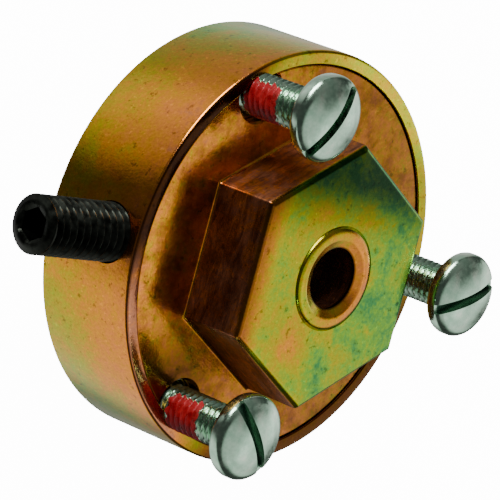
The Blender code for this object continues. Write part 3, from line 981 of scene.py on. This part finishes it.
def spring_steel():
    """Dark phosphated spring steel."""
    material, graph, shader = new_material("phosphated_steel")
    place = graph.add("ShaderNodeTexCoord").outputs["Object"]
    cloud = graph.noise(place, 600.0, 4.0)
    colour = graph.ramp(cloud, ((0.3, (0.07, 0.07, 0.075)), (0.7, (0.14, 0.14, 0.15))))
    graph.tree.links.new(colour, shader.inputs["Base Color"])
    graph.tree.links.new(graph.ease(cloud, 0.3, 0.7, 0.3, 0.45), shader.inputs["Roughness"])
    set_bump(graph, shader, cloud, 0.01 * MM)
    return material


def red_patch():
    """Dried red thread-locking resin."""
    material, graph, shader = new_material("red_locking_patch", metallic=0.0)
    place = graph.add("ShaderNodeTexCoord").outputs["Object"]
    cloud = graph.noise(place, 900.0, 4.0)
    colour = graph.ramp(cloud, ((0.3, (0.22, 0.004, 0.006)), (0.7, (0.50, 0.014, 0.018))))
    graph.tree.links.new(colour, shader.inputs["Base Color"])
    graph.tree.links.new(graph.ease(cloud, 0.3, 0.7, 0.25, 0.5), shader.inputs["Roughness"])
    set_bump(graph, shader, graph.noise(place, 2000.0, 3.0), 0.03 * MM)
    return material


# ------------------------------------------------------------------------------ studio


def place_camera():
    """Place the camera on its line of sight, turned and aimed a little off the rim's middle."""
    back = Vector((
        cos(CAMERA_ELEVATION) * cos(CAMERA_AZIMUTH),
        cos(CAMERA_ELEVATION) * sin(CAMERA_AZIMUTH),
        sin(CAMERA_ELEVATION),
    ))
    level = Vector((0.0, 0.0, 1.0)).cross(back).normalized()
    roll = Matrix.Rotation(CAMERA_ROLL, 3, back)
    right = roll @ level
    up = back.cross(right)
    target = AXIS + Vector((0.0, 0.0, BODY_HEIGHT))
    place = target + back * CAMERA_DISTANCE + right * CAMERA_AIM[0] + up * CAMERA_AIM[1]
    data = bpy.data.cameras.new("camera")
    data.lens = CAMERA_LENS
    data.clip_start = 0.01
    data.clip_end = 50.0
    camera = bpy.data.objects.new("camera", data)
    camera.matrix_world = Matrix((
        (right.x, up.x, back.x, place.x),
        (right.y, up.y, back.y, place.y),
        (right.z, up.z, back.z, place.z),
        (0.0, 0.0, 0.0, 1.0),
    ))
    bpy.context.scene.collection.objects.link(camera)
    bpy.context.scene.camera = camera


def direction(azimuth, elevation):
    """Unit vector from an azimuth and elevation in degrees."""
    turn, rise = radians(azimuth), radians(elevation)
    return Vector((cos(rise) * cos(turn), cos(rise) * sin(turn), sin(rise)))


# Broad soft glows of the studio: azimuth, elevation, inner and outer reach in degrees, strength.
GLOWS = (
    (161, 36, 14, 35, 0.98),
    (115, 68, 10, 38, 0.62),
    (72, -38, 22, 46, 1.0),
    (-55, -42, 5, 28, 0.50),
    (-115, -42, 34, 54, 0.40),
    (170, -45, 20, 50, 0.28),
    (-174, 8, 6, 22, 1.1),
    (-110, 45, 10, 40, 0.15),
)
AMBIENT = 0.06


def light_world():
    """Light the studio with broad glows all round, and a dark side behind the camera."""
    world = bpy.data.worlds.new("studio")
    bpy.context.scene.world = world
    world.use_nodes = True
    graph = Graph(world.node_tree)
    ray = graph.add("ShaderNodeTexCoord").outputs["Generated"]
    total = AMBIENT
    for azimuth, elevation, inner, outer, strength in GLOWS:
        inputs = {0: ray, 1: direction(azimuth, elevation)}
        near = graph.add("ShaderNodeVectorMath", inputs, operation="DOT_PRODUCT").outputs["Value"]
        glow = graph.ease(near, cos(radians(outer)), cos(radians(inner)), 0.0, strength)
        total = graph.math("ADD", glow, total)
    background = world.node_tree.nodes["Background"]
    background.inputs["Color"].default_value = (1.0, 1.0, 1.0, 1.0)
    world.node_tree.links.new(total, background.inputs["Strength"])


def add_softbox(name, azimuth, elevation, size, strength, distance=0.6):
    """Add a square area light that faces the object. Strength is its brightness as seen."""
    data = bpy.data.lights.new(name, "AREA")
    data.size = size
    data.energy = strength * pi * size**2
    away = direction(azimuth, elevation)
    light = bpy.data.objects.new(name, data)
    light.location = AXIS + Vector((0.0, 0.0, BODY_HEIGHT)) + away * distance
    light.rotation_euler = away.to_track_quat("Z", "Y").to_euler()
    light.visible_camera = False
    bpy.context.scene.collection.objects.link(light)


FLOOR_SIZE = 8.0
FLOOR_GLOW = 14.0
FLOOR_GAP = 0.2 * MM


def add_floor():
    """Pale studio floor, bright enough to read as white, that the metal does not mirror."""
    bm = bmesh.new()
    bmesh.ops.create_grid(bm, x_segments=8, y_segments=8, size=FLOOR_SIZE / 2)
    mesh = new_mesh("floor", bm)
    floor_plane = link("floor", mesh, (0.0, 0.0, -FLOOR_GAP))
    material, _, shader = new_material("pale_floor", metallic=0.0)
    shader.inputs["Base Color"].default_value = (0.9, 0.9, 0.9, 1.0)
    shader.inputs["Roughness"].default_value = 0.9
    shader.inputs["Emission Color"].default_value = (1.0, 1.0, 1.0, 1.0)
    shader.inputs["Emission Strength"].default_value = FLOOR_GLOW
    mesh.materials.append(material)
    floor_plane.visible_glossy = False
    floor_plane.visible_diffuse = False
    floor_plane.visible_shadow = False


gold_body = body_plating()
gold_flange = flange_plating()
zinc = zinc_plating()
black = black_oxide()
spring = spring_steel()
red = red_patch()

build_body(gold_body)
build_flange(gold_flange)
build_set_screw(black)
build_slider(black)
build_output_hub(gold_body)
build_retaining_ring(spring)
for screw_index in range(len(SCREW_AXES)):
    build_flange_screw(screw_index, zinc)
    build_patch(screw_index, red)

place_camera()
light_world()
add_softbox("overhead", -64, 10, 0.36, 14.0)
add_floor()
